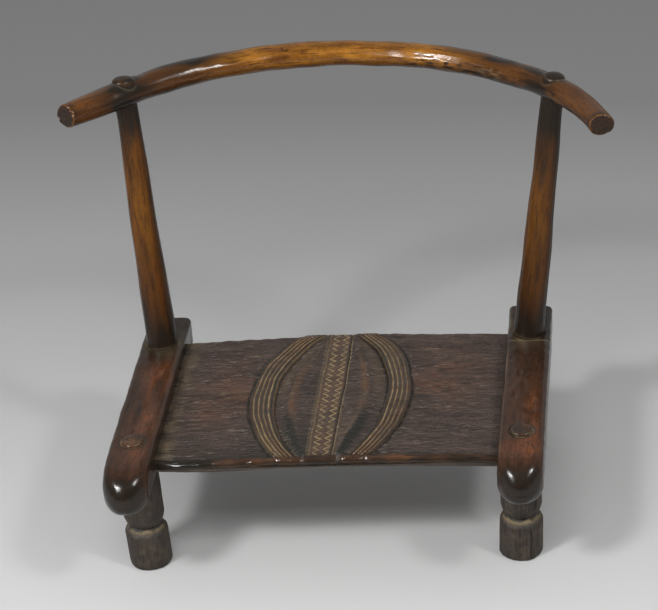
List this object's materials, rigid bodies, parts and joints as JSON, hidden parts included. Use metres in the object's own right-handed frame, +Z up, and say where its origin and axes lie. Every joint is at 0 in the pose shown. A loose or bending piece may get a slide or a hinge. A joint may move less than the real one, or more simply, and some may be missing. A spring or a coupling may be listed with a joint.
{
  "type": "low chair",
  "caption": "Low wooden chair with a carved oval on a crowned seat, turned legs, side rails with rounded noses and tapered posts through a bowed crest rail.",
  "frame": {"origin": "on the floor, under the middle of the chair's bounding box", "axes": "+X to the right as seen from the front, +Y from the front towards the back, +Z up"},
  "size_m": [0.5752, 0.4172, 0.4606],
  "materials": {
    "rail_wood": "dark brown, polished by use",
    "seat_wood": "dark brown with adze marks, satin",
    "leg_wood": "grey-brown, dusty and matt",
    "post_wood": "red-brown, satin, dark at the joints",
    "crest_wood": "golden brown, polished, dark at the joints and ends"
  },
  "bodies": {
    "root": {"left_side_rail": "rail_wood", "right_side_rail": "rail_wood", "seat_panel": "seat_wood", "front_left_leg": "leg_wood", "front_right_leg": "leg_wood", "rear_left_leg": "leg_wood", "rear_right_leg": "leg_wood", "left_back_post": "post_wood", "right_back_post": "post_wood", "crest_rail": "crest_wood"}
  },
  "joints": []
}
